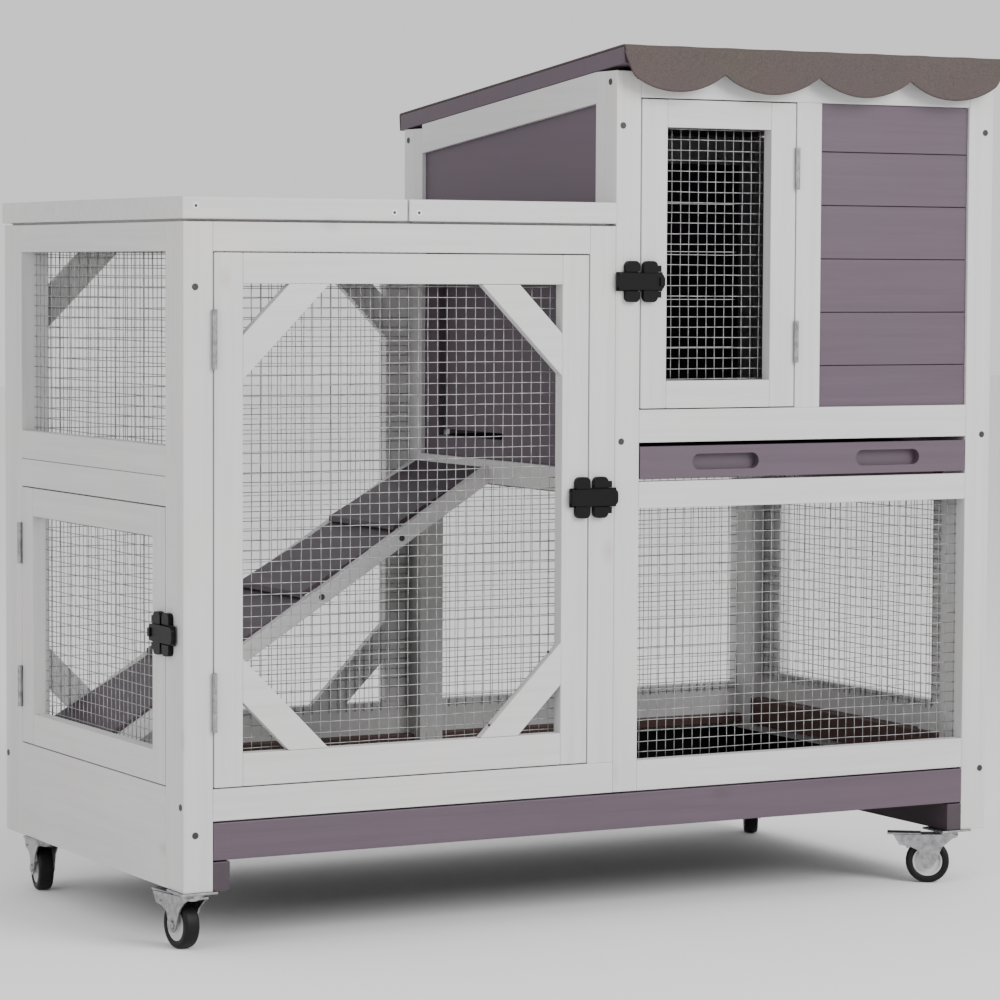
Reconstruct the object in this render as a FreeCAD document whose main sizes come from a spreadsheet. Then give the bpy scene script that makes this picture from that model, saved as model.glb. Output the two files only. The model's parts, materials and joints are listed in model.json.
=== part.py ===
# Rabbit hutch on casters: a mesh run on the left, a raised house on the right with a
# pull-out tray floor, and one wide pull-out tray under both.
# Millimetres. +X towards the house, +Y towards the back, +Z up.
# The origin is on the floor, under the middle of the hutch's bounding box.
import FreeCAD, Part
import math
import os
import re

V = FreeCAD.Vector
doc = FreeCAD.newDocument("RabbitHutch")

# ---- driving dimensions -----------------------------------------------------------------
# Lengths along X start at the left face, along Y at the front face, along Z at the floor.
SIZES = {
    "width": 1150, "depth": 574, "run_length": 581,
    "post_width": 38, "post_depth": 52, "back_post_depth": 58, "centre_post_width": 35,
    "board": 18, "rail": 36.5, "head_rail": 34.5,
    "run_frame_top": 858, "front_eave": 1055, "back_eave": 995, "slope_rail": 39,
    "base_low": 155, "base_high": 193, "back_rail_high": 212, "plank_seam": 0.5,
    "side_plank_high": 192, "side_door_head": 524, "side_sill": 595.5, "seam": 0.4,
    "door_gap": 1.5, "door_stile": 37, "door_top_rail": 36, "door_bottom_rail": 39,
    "brace_outer": 60, "brace_inner": 112, "brace_board": 12,
    "house_top_rail_low": 1017, "window_sill": 631, "window_rail_low": 590,
    "tray_rail_high": 541.5, "tray_rail_low": 508, "mullion_left": 845.5, "mullion_width": 37.5,
    "siding_pitch": 68, "siding_top_board": 61, "siding_gap": 0.6, "siding_board": 12,
    "siding_setback": 4, "gusset": 60, "gusset_thick": 12, "back_sill": 560,
    "side_rail_high": 590, "side_rail_low": 232, "side_stile": 46, "guide_lip": 3, "back_ledge": 168,
    "floor_rail_low": 523, "floor_rail_high": 554.5,
    "wall_panel": 8, "wall_panel_setback": 6,
    "doorway_width": 184, "doorway_from_back": 92, "doorway_low": 581, "doorway_high": 781,
    "slide_door_board": 6, "slide_door_rise": 8, "slide_door_lap": 12, "slide_gap": 0.5,
    "bearer_width": 22, "bearer_height": 35,
    "big_tray_front_high": 153, "tray_back_gap": 1, "tray_board": 16,
    "tray_wall": 1.2, "tray_clear": 0.5, "big_tray_wall_high": 148,
    "tray_front_low": 545, "tray_front_high": 585, "slot_length": 98.5, "slot_deep": 11, "slot_height": 20,
    "pan_clear": 6, "pan_reach": 20, "tray_rim_drop": 5,
    "lid_pivot_back": 3.4, "lid_pivot_high": 989, "lid_arm_high": 14,
    "slot_first": 693.8, "slot_second": 940,
    "run_roof_board": 26, "run_roof_rise": 3, "run_roof_overhang": 3, "run_roof_seam": 292,
    "roof_board": 21, "roof_felt": 2.5, "roof_front": 18, "roof_back": 11, "lid_gap": 0.4,
    "flap_top": 1046, "flap_low": 1025, "flap_lobes": 4, "flap_gap": 0.3, "flap_reach": 1.5, "flap_inset": 4,
    "lid_hinge_width": 60, "lid_hinge_leaf": 1.5, "lid_hinge_high": 30,
    "lid_hinge_first": 700, "lid_hinge_second": 1030,
    "mesh_pitch": 13, "mesh_wire": 1.4, "mesh_every": 4,
    "ramp_width": 221, "ramp_from_back": 25, "ramp_top": 547, "ramp_foot_high": 206,
    "ramp_foot_cut": 5, "ramp_board": 7, "ramp_rail": 24, "ramp_rail_width": 14,
    "ramp_steps": 4, "ramp_sink": 2.5, "tread_proud": 8, "tread_lap": 6, "roof_inset": 9, "mesh_lap": 12,
    "runner_width": 33, "runner_height": 25,
    "hinge_leaf": 0.6, "run_hinge_length": 70, "hinge_length": 53, "hinge_width": 16,
    "barrel_radius": 3, "pivot_proud": 3.4, "barrel_gap": 0.4,
    "pin_radius": 1.5, "pin_clearance": 0.05,
    "run_hinge_inset": 101, "side_hinge_inset": 72, "window_hinge_inset": 82, "window_door_rail": 34,
    "run_latch_high": 524, "side_latch_high": 374, "window_latch_high": 790,
    "keeper_offset": 4, "thumb_width": 7, "bolt_past_keeper": 13,
    "latch_height": 51, "latch_plate": 2.5, "latch_width": 20, "bolt_length": 67,
    "latch_lip": 2, "latch_corner": 6.5, "latch_lug": 6, "lug_offset": 16, "lug_high": 8,
    "bolt_foot": 1.5, "bolt_foot_thick": 1.6, "thumb_proud": 2,
    "bolt_height": 20.5, "bolt_thickness": 4.5, "latch_clearance": 0.4, "keeper_width": 20,
    "wheel_radius": 28.5, "wheel_room": 15, "wheel_width": 20, "hub_radius": 19.5, "axle_radius": 3,
    "axle_clearance": 0.08, "caster_trail": 25, "plate_side": 46, "plate_thick": 2.5,
    "fork_thick": 2, "fork_inside": 12, "kingpin_radius": 4, "race_depth": 4, "race_radius": 15,
    "crown_thick": 2.5, "crown_half": 14, "fork_play": 0.5, "pin_head": 7, "pin_head_thick": 2,
    "rivet_radius": 5.5, "rivet_proud": 1.5, "hub_step": 1.5,
    "pedal_tuck": 1.5, "pedal_pivot_down": 18, "pedal_half": 11.4, "pedal_back": 18,
    "pedal_front": 26, "pedal_thick": 2.4, "pedal_down": 6, "cheek_thick": 2, "brake_bar": 2.5,
    "front_caster": 20, "back_caster_inset": 90, "caster_inset": 20,
    "front_right_inset": 46, "back_right_inset": 55,
    "turn_front_left": 6, "turn_back_left": -9, "turn_front_right": 55,
    "turn_back_right": -30, "screw_radius": 4, "screw_proud": 0.6,
    "screw_inset": 9, "screw_top": 982, "screw_side": 8, "tread_round": 3,
}
# Sizes tied to others: the frame stands a wheel and the fork's room above the floor, the wide
# tray's front clears the bearers, and the doorway, ramp and back casters keep to the back.
SIZES["caster_height"] = 2 * SIZES["wheel_radius"] + SIZES["wheel_room"]
SIZES["bearer_top"] = SIZES["caster_height"] + SIZES["bearer_height"]
SIZES["big_tray_front_low"] = SIZES["bearer_top"] + SIZES["door_gap"]
SIZES["doorway_back"] = SIZES["depth"] - SIZES["doorway_from_back"]
SIZES["doorway_front"] = SIZES["doorway_back"] - SIZES["doorway_width"]
SIZES["ramp_back"] = SIZES["depth"] - SIZES["ramp_from_back"]
SIZES["ramp_front"] = SIZES["ramp_back"] - SIZES["ramp_width"]
SIZES["back_caster"] = SIZES["depth"] - SIZES["back_caster_inset"]
SIZES["pedal_pivot_out"] = (SIZES["caster_trail"] + SIZES["wheel_radius"]
                            - SIZES["pedal_tuck"])
SIZES["pedal_start"] = SIZES["pedal_pivot_out"] - SIZES["pedal_back"]
SIZES["pedal_end"] = SIZES["pedal_pivot_out"] + SIZES["pedal_front"]
sheet = doc.addObject("Spreadsheet::Sheet", "Sizes")
for row, (name, value) in enumerate(SIZES.items(), start=1):
    sheet.set(f"A{row}", name)
    sheet.set(f"B{row}", str(value))
    sheet.setAlias(f"B{row}", name)
doc.recompute()
size = {name: float(sheet.get(name)) for name in SIZES}
WORDS = re.compile(r"\b(" + "|".join(sorted(SIZES, key=len, reverse=True)) + r")\b")
ORIGIN = V(size["width"] / 2, size["depth"] / 2, 0)


def bind(item, prop, text):
    """Tie a property to an expression written in the sheet's aliases."""
    item.setExpression(prop, WORDS.sub(r"Sizes.\1", str(text)))


def board(x, y, z, length, deep, high):
    """A rectangular board between named sizes, measured from the front left corner."""
    item = doc.addObject("Part::Box", "board")
    for prop, text in (("Length", length), ("Width", deep), ("Height", high)):
        bind(item, prop, text)
    bind(item, "Placement.Base.x", f"{x} - width / 2")
    bind(item, "Placement.Base.y", f"{y} - depth / 2")
    bind(item, "Placement.Base.z", z)
    return item


nodes = []


def node(label, *items):
    """Name a finished sub-part; several separate boards become one group."""
    part = items[0]
    if len(items) > 1:
        part = doc.addObject("Part::Compound", label)
        part.Links = list(items)
    part.Label = label
    nodes.append(part)
    return part


def made(label, shape):
    """A sub-part whose shape is worked out here, in the corner frame."""
    part = doc.addObject("Part::Feature", label)
    part.Shape = shape
    part.Placement = FreeCAD.Placement(-ORIGIN, FreeCAD.Rotation()).multiply(shape.Placement)
    part.Label = label
    nodes.append(part)
    return part


def cut(base, tool):
    """A boolean cut of two document objects."""
    item = doc.addObject("Part::Cut", "cut")
    item.Base = base
    item.Tool = tool
    return item


def block(x0, x1, y0, y1, z0, z1):
    """A plain solid block from corner to corner."""
    return Part.makeBox(x1 - x0, y1 - y0, z1 - z0, V(x0, y0, z0))


def rod(start, axis, radius, length):
    """A round solid from start along axis."""
    return Part.makeCylinder(radius, length, start, axis)


def prism(points, push):
    """A flat outline pushed into a solid."""
    wire = Part.makePolygon(list(points) + [points[0]])
    return Part.Face(wire).extrude(push)


def eave(y):
    """Height of the house roof's underside at a distance y behind the front face."""
    fall = (size["front_eave"] - size["back_eave"]) / size["depth"]
    return size["front_eave"] - fall * y


def mesh_sheet(along, corner, wide, high, thick):
    """Welded mesh in an upright plane: every fourth wire of the real pitch, as one sheet.

    along is the unit vector across the sheet and thick the vector through it.
    """
    step = size["mesh_pitch"] * size["mesh_every"]
    wire = size["mesh_wire"]
    up = V(0, 0, 1)
    columns = max(1, round(wide / step))
    rows = max(1, round(high / step))
    column_step = (wide - wire) / columns
    row_step = (high - wire) / rows
    loops = [[(0, 0), (wide, 0), (wide, high), (0, high)]]
    for i in range(columns):
        for j in range(rows):
            u0 = i * column_step + wire
            v0 = j * row_step + wire
            u1 = (i + 1) * column_step
            v1 = (j + 1) * row_step
            loops.append([(u0, v0), (u1, v0), (u1, v1), (u0, v1)])
    wires = []
    for loop in loops:
        points = [corner + along * u + up * v for u, v in loop]
        wires.append(Part.makePolygon(points + [points[0]]))
    return Part.makeFace(wires, "Part::FaceMakerBullseye").extrude(thick)


# ---- posts ------------------------------------------------------------------------------
POST_TOP_FRONT = "front_eave - (front_eave - back_eave) * post_depth / depth"
node(
    "posts",
    board("0", "0", "caster_height", "post_width", "post_depth", "run_frame_top - caster_height"),
    board("0", "depth - back_post_depth", "caster_height", "post_width", "back_post_depth",
          "run_frame_top - caster_height"),
    board("run_length", "0", "base_low", "centre_post_width", "post_depth",
          f"{POST_TOP_FRONT} - base_low"),
    board("run_length", "depth - post_depth", "base_low", "centre_post_width", "post_depth",
          "back_eave - base_low"),
    board("width - post_width", "0", "caster_height", "post_width", "post_depth",
          f"{POST_TOP_FRONT} - caster_height"),
    board("width - post_width", "depth - back_post_depth", "caster_height", "post_width",
          "back_post_depth", "back_eave - caster_height"),
)

# ---- front frame of the run and of the house --------------------------------------------
HOUSE_LEFT = "(run_length + centre_post_width)"
HOUSE_RIGHT = "(width - post_width)"
HOUSE_SPAN = f"{HOUSE_RIGHT} - {HOUSE_LEFT}"
RUN_HEAD = "(run_frame_top - head_rail)"
FRONT_RAIL_TOP = "(front_eave - (front_eave - back_eave) * board / depth)"
node(
    "run_front_rails",
    board("post_width", "0", RUN_HEAD, "run_length - rail - post_width", "board", "head_rail"),
    board("post_width", "0", "base_low", "run_length - post_width", "board",
          "base_high - base_low"),
)
node(
    "house_front_rails",
    board(HOUSE_LEFT, "0", "house_top_rail_low", HOUSE_SPAN, "board",
          f"{FRONT_RAIL_TOP} - house_top_rail_low"),
    board(HOUSE_LEFT, "0", "window_rail_low", HOUSE_SPAN, "board",
          "window_sill - window_rail_low"),
    board(HOUSE_LEFT, "0", "tray_rail_low", HOUSE_SPAN, "board",
          "tray_rail_high - tray_rail_low"),
    board(HOUSE_LEFT, "0", "base_low", HOUSE_SPAN, "board", "base_high - base_low"),
)


# ---- siding: boards one shadow gap apart, the top one narrower ---------------------------
siding = []
SIDING_LEFT = "(mullion_left + mullion_width)"
siding_span = size["house_top_rail_low"] - size["window_sill"] - size["siding_top_board"]
front_boards = 1 + math.ceil(siding_span / size["siding_pitch"])
for i in range(front_boards):
    below = f"house_top_rail_low - siding_top_board - {i} * siding_pitch"
    low = f"max(window_sill; {below})"
    high = f"({below} + siding_pitch - siding_gap)"
    if i == 0:
        high = "house_top_rail_low"
    siding.append(board(SIDING_LEFT, "siding_setback", low, f"{HOUSE_RIGHT} - {SIDING_LEFT}",
                        "siding_board", f"{high} - {low}"))
back_span = size["back_eave"] - size["slope_rail"] - size["back_sill"]
back_boards = math.ceil(back_span / size["siding_pitch"])
for i in range(back_boards):
    low = f"(back_sill + {i} * siding_pitch)"
    high = f"min(back_eave - slope_rail; {low} + siding_pitch - siding_gap)"
    if i == back_boards - 1:
        high = "(back_eave - slope_rail)"
    siding.append(board(HOUSE_LEFT, "depth - siding_setback - siding_board", low, HOUSE_SPAN,
                        "siding_board", f"{high} - {low}"))

side_boards = doc.addObject("Part::Feature", "side_boards")
front_y = size["post_depth"]
back_y = size["depth"] - size["back_post_depth"]
side_x = size["width"] - size["board"] + size["siding_setback"]
pieces = []
low = size["side_rail_high"]
while low < eave(back_y) - size["slope_rail"]:
    high = low + size["siding_pitch"] - size["siding_gap"]
    ends = [min(high, eave(y) - size["slope_rail"]) for y in (back_y, front_y)]
    if ends[0] + size["siding_pitch"] / 2 > eave(back_y) - size["slope_rail"]:
        ends = [eave(y) - size["slope_rail"] for y in (back_y, front_y)]
    outline = [V(side_x, front_y, low), V(side_x, back_y, low)]
    outline += [V(side_x, back_y, ends[0]), V(side_x, front_y, ends[1])]
    pieces.append(prism(outline, V(size["siding_board"] - size["siding_setback"], 0, 0)))
    low = ends[0] + size["siding_gap"]
    if ends[0] != ends[1]:
        break
side_boards.Shape = Part.makeCompound(pieces)
side_boards.Placement = FreeCAD.Placement(-ORIGIN, FreeCAD.Rotation())
siding.append(side_boards)
node("siding_boards", *siding)

# ---- left side, right side and back -----------------------------------------------------
SIDE_BACK = "(depth - back_post_depth)"
SIDE_SPAN = f"({SIDE_BACK} - post_depth)"
node(
    "left_side_rails",
    board("0", "post_depth", RUN_HEAD, "board", SIDE_SPAN, "head_rail"),
    board("0", "post_depth", "side_door_head + rail - 1", "board", SIDE_SPAN,
          "side_sill - side_door_head - rail + 1"),
    board("0", "post_depth", "side_door_head", "board", SIDE_SPAN, "rail - 1 - plank_seam"),
    board("0", "post_depth", "caster_height", "board", SIDE_SPAN,
          "side_plank_high - caster_height"),
)
RIGHT_WALL = "(width - board)"
slope_right = [V(size["width"] - size["board"], y, eave(y) - drop)
               for y, drop in ((front_y, 0), (back_y, 0), (back_y, size["slope_rail"]),
                               (front_y, size["slope_rail"]))]
right_slope = doc.addObject("Part::Feature", "right_slope")
right_slope.Shape = prism(slope_right, V(size["board"], 0, 0))
right_slope.Placement = FreeCAD.Placement(-ORIGIN, FreeCAD.Rotation())
node(
    "right_side_rails",
    board(RIGHT_WALL, "post_depth", "tray_rail_low", "board", SIDE_SPAN,
          "side_rail_high - tray_rail_low"),
    board(RIGHT_WALL, "post_depth", "side_plank_high + plank_seam", "board", SIDE_SPAN,
          "side_rail_low - side_plank_high - plank_seam"),
    board(RIGHT_WALL, "post_depth", "caster_height", "board", SIDE_SPAN,
          "side_plank_high - caster_height"),
    right_slope,
)
BACK_Y = "(depth - board)"
BACK_RUN = "run_length - post_width"
BACK_HOUSE = "width - post_width - run_length - centre_post_width"
node(
    "back_rails",
    board("post_width", BACK_Y, RUN_HEAD, f"{BACK_RUN}", "board", "head_rail"),
    board("post_width", BACK_Y, "base_low", f"{BACK_RUN}", "board",
          "back_rail_high - base_low"),
    board("post_width", BACK_Y, "caster_height", "width - 2 * post_width", "board",
          "base_low - caster_height - plank_seam"),
    board(HOUSE_LEFT, BACK_Y, "back_eave - slope_rail", BACK_HOUSE, "board",
          "slope_rail"),
    board(HOUSE_LEFT, BACK_Y, "tray_rail_low", BACK_HOUSE, "board",
          "back_sill - tray_rail_low"),
    board(HOUSE_LEFT, BACK_Y, "base_low", BACK_HOUSE, "board", "back_rail_high - base_low"),
)
node(
    "frame_stiles",
    board("run_length - rail", "0", "base_high", "rail", "board", "run_frame_top - base_high"),
    board("mullion_left", "0", "window_sill", "mullion_width", "board",
          "house_top_rail_low - window_sill"),
    board("run_length - rail", BACK_Y, "back_rail_high", "rail", "board",
          f"{RUN_HEAD} - back_rail_high"),
    board(RIGHT_WALL, "post_depth", "side_rail_low", "board", "side_stile",
          "tray_rail_low - side_rail_low"),
    board(RIGHT_WALL, f"{SIDE_BACK} - side_stile", "side_rail_low", "board", "side_stile",
          "tray_rail_low - side_rail_low"),
)


def corner_brace(corner, along, up, outer, inner, thick):
    """A diagonal board across a frame's corner, its ends cut flush with the frame."""
    outline = [corner + along * outer, corner + along * inner]
    outline += [corner + up * inner, corner + up * outer]
    return prism(outline, thick)


def four_braces(near, far, inset):
    """Braces in the four corners of the opening between two opposite corners."""
    across = V(far.x - near.x, far.y - near.y, 0).normalize()
    through = V(0, 0, 1).cross(across) * size["brace_board"]
    braces = []
    for base, sign, lift in ((near, 1, 1), (V(far.x, far.y, near.z), -1, 1),
                             (V(near.x, near.y, far.z), 1, -1), (far, -1, -1)):
        corner = base + V(0, 0, lift * inset)
        braces.append(corner_brace(corner, across * sign, V(0, 0, lift), size["brace_outer"],
                                   size["brace_inner"], through))
    return braces


brace_y = size["depth"] - size["board"]
back_near = V(size["post_width"], brace_y, size["back_rail_high"])
back_far = V(size["run_length"] - size["rail"], brace_y, size["run_frame_top"] - size["head_rail"])
gusset_x = size["width"] - size["board"] - size["gusset_thick"]
gusset_points = [V(gusset_x, front_y, size["base_high"])]
gusset_points.append(gusset_points[0] + V(0, size["gusset"], 0))
gusset_points.append(gusset_points[0] + V(0, 0, size["gusset"]))
made("corner_braces",
     Part.makeCompound(four_braces(back_near, back_far, 0)
                       + [prism(gusset_points, V(size["gusset_thick"] - 2, 0, 0))]))

# ---- wall between run and house, with its doorway ----------------------------------------
wall_x = size["run_length"] + size["wall_panel_setback"]
wall_back = size["depth"] - size["post_depth"]
wall_outline = [V(wall_x, front_y, size["floor_rail_high"])]
wall_outline.append(V(wall_x, wall_back, size["floor_rail_high"]))
wall_outline.append(V(wall_x, wall_back, eave(wall_back) - size["slope_rail"]))
wall_outline.append(V(wall_x, front_y, eave(front_y) - size["slope_rail"]))
wall = prism(wall_outline, V(size["wall_panel"], 0, 0))
doorway = block(wall_x - 1, wall_x + size["wall_panel"] + 1, size["doorway_front"],
                size["doorway_back"], size["doorway_low"], size["doorway_high"])
made("dividing_wall_panel", wall.cut(doorway))

wall_inside = wall_x + size["wall_panel"]
rail_left = size["run_length"]
slope_points = [V(rail_left, y, eave(y) - drop)
                for y, drop in ((front_y, 0), (wall_back, 0), (wall_back, size["slope_rail"]),
                                (front_y, size["slope_rail"]))]
slope_rail = prism(slope_points, V(wall_inside - rail_left, 0, 0))
floor_rail = block(rail_left, wall_inside, front_y, wall_back, size["floor_rail_low"],
                   size["floor_rail_high"])
slide_x = wall_inside + size["slide_gap"]
slide_out = slide_x + size["slide_door_board"]
slide_low = size["doorway_low"] + size["slide_door_rise"]
slide_front = size["doorway_front"] - size["slide_door_lap"]
slide_back = size["doorway_back"] + size["slide_door_lap"]
guide_out = slide_out + size["slide_gap"] + size["guide_lip"]
guides = []
for edge, side in ((slide_front, -1), (slide_back, 1)):
    inner = edge - side * (size["slide_door_lap"] - 2)
    outer = edge + side * size["slide_door_lap"]
    groove = edge + side * size["slide_gap"]
    solid = block(wall_inside, guide_out, min(inner, outer), max(inner, outer),
                  size["doorway_low"], size["doorway_high"])
    open_end = inner - side
    channel = block(wall_inside - 1, slide_out + size["slide_gap"], min(open_end, groove),
                    max(open_end, groove), slide_low - size["slide_gap"],
                    size["doorway_high"] + 1)
    guides.append(solid.cut(channel))
made("dividing_wall_rails", Part.makeCompound([slope_rail, floor_rail] + guides))
made("slide_door", block(slide_x, slide_out, slide_front, slide_back, slide_low,
                         size["doorway_high"] + size["slide_door_lap"]))

# ---- ledges that carry the trays, and the bearers under the wide tray ---------------------
node(
    "ledger_boards",
    board("board", "post_depth", "base_low", "post_width - board", SIDE_SPAN,
          "base_high - base_low"),
    board("width - post_width", "post_depth", "base_low", "post_width - board", SIDE_SPAN,
          "base_high - base_low"),
    board("post_width", "depth - 2 * board", "base_low", BACK_RUN, "board",
          "back_ledge - base_low"),
    board(HOUSE_LEFT, "depth - 2 * board", "base_low", BACK_HOUSE, "board",
          "back_ledge - base_low"),
    board("run_length + wall_panel_setback + wall_panel", "post_depth",
          "tray_front_low - runner_height", "runner_width", "depth - 2 * post_depth",
          "runner_height - tray_clear"),
    board("width - board - runner_width", "post_depth", "tray_front_low - runner_height",
          "runner_width", SIDE_SPAN, "runner_height - tray_clear"),
)
node(
    "bearers",
    board("post_width", "0", "caster_height", "bearer_width", BACK_Y, "bearer_height"),
    board("width - post_width - bearer_width", "0", "caster_height", "bearer_width", BACK_Y,
          "bearer_height"),
)

# ---- flat roof over the run: two panels, each on a smaller tongue ------------------------
roof_low = size["run_frame_top"] + size["run_roof_rise"]
roof_high = roof_low + size["run_roof_board"]
reach = size["run_roof_overhang"]
half_seam = 1
panels = []
for x0, x1 in ((-reach + 1, size["run_roof_seam"] - half_seam),
               (size["run_roof_seam"] + half_seam, size["run_length"] - half_seam / 2)):
    panel = block(x0, x1, -reach, size["depth"] + reach + 1, roof_low, roof_high)
    tongue = block(x0 + size["roof_inset"], x1 - size["roof_inset"], size["roof_inset"],
                   size["depth"] - size["roof_inset"], size["run_frame_top"], roof_low)
    panels.append(panel.fuse(tongue).removeSplitter())
made("run_roof_panels", Part.makeCompound(panels))

# ---- ramp from the run's floor up to the doorway -----------------------------------------
ramp_run = size["run_length"] - size["post_width"]
ramp_rise = size["ramp_top"] - size["ramp_foot_high"]
slope = ramp_rise / ramp_run
ledge = size["base_high"] - size["ramp_foot_cut"]
ramp_back = size["ramp_back"]
ramp_front = size["ramp_front"]


def ramp_line(x, lift):
    """Height of a line parallel to the ramp, lift above its upper edge."""
    return size["ramp_foot_high"] + slope * (x - size["post_width"]) + lift


rail_points = []
rail_points.append(V(size["post_width"], 0, ramp_line(size["post_width"], 0)))
rail_points.append(V(size["post_width"], 0, ledge))
meet = size["post_width"] + (ledge - ramp_line(size["post_width"], -size["ramp_rail"])) / slope
rail_points.append(V(meet, 0, ledge))
rail_points.append(V(size["run_length"], 0, ramp_line(size["run_length"], -size["ramp_rail"])))
rail_points.append(V(size["run_length"], 0, ramp_line(size["run_length"], 0)))
ramp_rails = []
for y in (ramp_front, ramp_back - size["ramp_rail_width"]):
    outline = [point + V(0, y, 0) for point in rail_points]
    ramp_rails.append(prism(outline, V(0, size["ramp_rail_width"], 0)))
made("ramp_rails", Part.makeCompound(ramp_rails))

# Each tread board lies a little flatter than the ramp, so its lower end stands proud.
treads = []
tread_count = int(size["ramp_steps"])
tread_start = meet
tread_run = (size["run_length"] - tread_start) / tread_count
tread_front = ramp_front + size["ramp_rail_width"]
tread_deep = ramp_back - size["ramp_rail_width"] - tread_front
for i in range(tread_count):
    x0 = tread_start + i * tread_run + size["seam"]
    x1 = min(tread_start + (i + 1) * tread_run + size["tread_lap"], size["run_length"])
    low_top = ramp_line(x0, size["tread_proud"])
    high_top = ramp_line(x1, -size["ramp_sink"])
    outline = [V(x0, tread_front, low_top), V(x1, tread_front, high_top)]
    outline.append(V(x1, tread_front, high_top - size["ramp_board"]))
    outline.append(V(x0, tread_front, low_top - size["ramp_board"]))
    treads.append(prism(outline, V(0, tread_deep, 0)))
made("ramp_boards", Part.makeCompound(treads))

# ---- fixed wire mesh, stapled to the inside of the frames --------------------------------
EAST = V(1, 0, 0)
NORTH = V(0, 1, 0)
wire = size["mesh_wire"]
lap = size["mesh_lap"]
house_left = size["run_length"] + size["centre_post_width"]
house_wide = size["width"] - size["post_width"] - house_left
run_high = size["run_frame_top"] - size["head_rail"] - size["back_rail_high"] + 2 * lap
back_inside = size["depth"] - size["board"]
window_high = size["run_frame_top"] - size["head_rail"] - size["side_sill"] + 2 * lap
lower_high = size["tray_rail_low"] - size["base_high"] + 2 * lap
side_deep = back_y - front_y
right_high = size["tray_rail_low"] - size["side_rail_low"] + 2 * lap
made("fixed_mesh", Part.makeCompound([
    mesh_sheet(EAST, V(size["post_width"], back_inside, size["back_rail_high"] - lap),
               size["run_length"] - size["post_width"], run_high, V(0, -wire, 0)),
    mesh_sheet(EAST, V(house_left, back_inside, size["back_rail_high"] - lap), house_wide,
               size["tray_rail_low"] - size["back_rail_high"] + 2 * lap, V(0, -wire, 0)),
    mesh_sheet(NORTH, V(size["board"], front_y, size["side_sill"] - lap), side_deep,
               window_high, V(wire, 0, 0)),
    mesh_sheet(EAST, V(house_left, size["board"], size["base_high"] - lap), house_wide,
               lower_high, V(0, wire, 0)),
    mesh_sheet(NORTH, V(size["width"] - size["board"], front_y, size["side_rail_low"] - lap),
               side_deep, right_high, V(-wire, 0, 0)),
]))

# ---- framed mesh doors -------------------------------------------------------------------
# A door is drawn in its own plane: u runs across it, z up, and w through it to the inside.
DOORS = {
    "run": (V(size["post_width"], 0, 0), EAST, NORTH,
            size["run_length"] - size["rail"] - size["post_width"],
            size["base_high"], size["run_frame_top"] - size["head_rail"], "near", True),
    "side": (V(0, front_y, 0), NORTH, EAST, side_deep,
             size["side_plank_high"], size["side_door_head"], "far", False),
    "window": (V(house_left, 0, 0), EAST, NORTH, size["mullion_left"] - house_left,
               size["window_sill"], size["house_top_rail_low"], "far", False),
}


def slab(place, u0, u1, w0, w1, z0, z1):
    """A block in a door's own plane, turned into the corner frame."""
    start, across, through = place
    one = start + across * u0 + through * w0 + V(0, 0, z0)
    two = start + across * u1 + through * w1 + V(0, 0, z1)
    return block(min(one.x, two.x), max(one.x, two.x), min(one.y, two.y), max(one.y, two.y),
                 one.z, two.z)


def pivot_rod(place, u, radius, z0, z1):
    """An upright round piece on a door's hinge line."""
    start, across, through = place
    foot = start + across * u - through * size["pivot_proud"] + V(0, 0, z0)
    return rod(foot, V(0, 0, 1), radius, z1 - z0)


def butt_hinge(place, post_u, sign, middle, length):
    """One butt hinge: fixed leaf with two barrels and the pin, moving leaf with one barrel.

    post_u is the post's edge and sign points from the post towards the door.
    """
    leaf = size["hinge_leaf"]
    axis_u = post_u + sign * size["door_gap"] / 2
    door_u = post_u + sign * size["door_gap"]
    low = middle - length / 2
    high = middle + length / 2
    third = length / 3
    gap = size["barrel_gap"] / 2
    radius = size["barrel_radius"]
    fixed = slab(place, min(post_u, post_u + sign * leaf), max(post_u, post_u + sign * leaf),
                 0, size["hinge_width"], low, high)
    for z0, z1 in ((low, low + third - gap), (high - third + gap, high)):
        tab = slab(place, min(post_u, post_u + sign * leaf), max(post_u, post_u + sign * leaf),
                   -size["pivot_proud"], 1, z0, z1)
        fixed = fixed.fuse(tab).fuse(pivot_rod(place, axis_u, radius, z0, z1))
    fixed = fixed.fuse(pivot_rod(place, axis_u, size["pin_radius"], low, high))
    inner = door_u - sign * leaf
    moving = slab(place, min(inner, door_u), max(inner, door_u), 0, size["hinge_width"], low, high)
    tab = slab(place, min(inner, door_u), max(inner, door_u), -size["pivot_proud"], 1,
               low + third + gap, high - third - gap)
    moving = moving.fuse(tab)
    moving = moving.fuse(pivot_rod(place, axis_u, radius, low + third + gap,
                                   high - third - gap))
    moving = moving.cut(pivot_rod(place, axis_u, size["pin_radius"] + size["pin_clearance"],
                                  low - 1, high + 1))
    return fixed.removeSplitter(), moving.removeSplitter()


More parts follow.
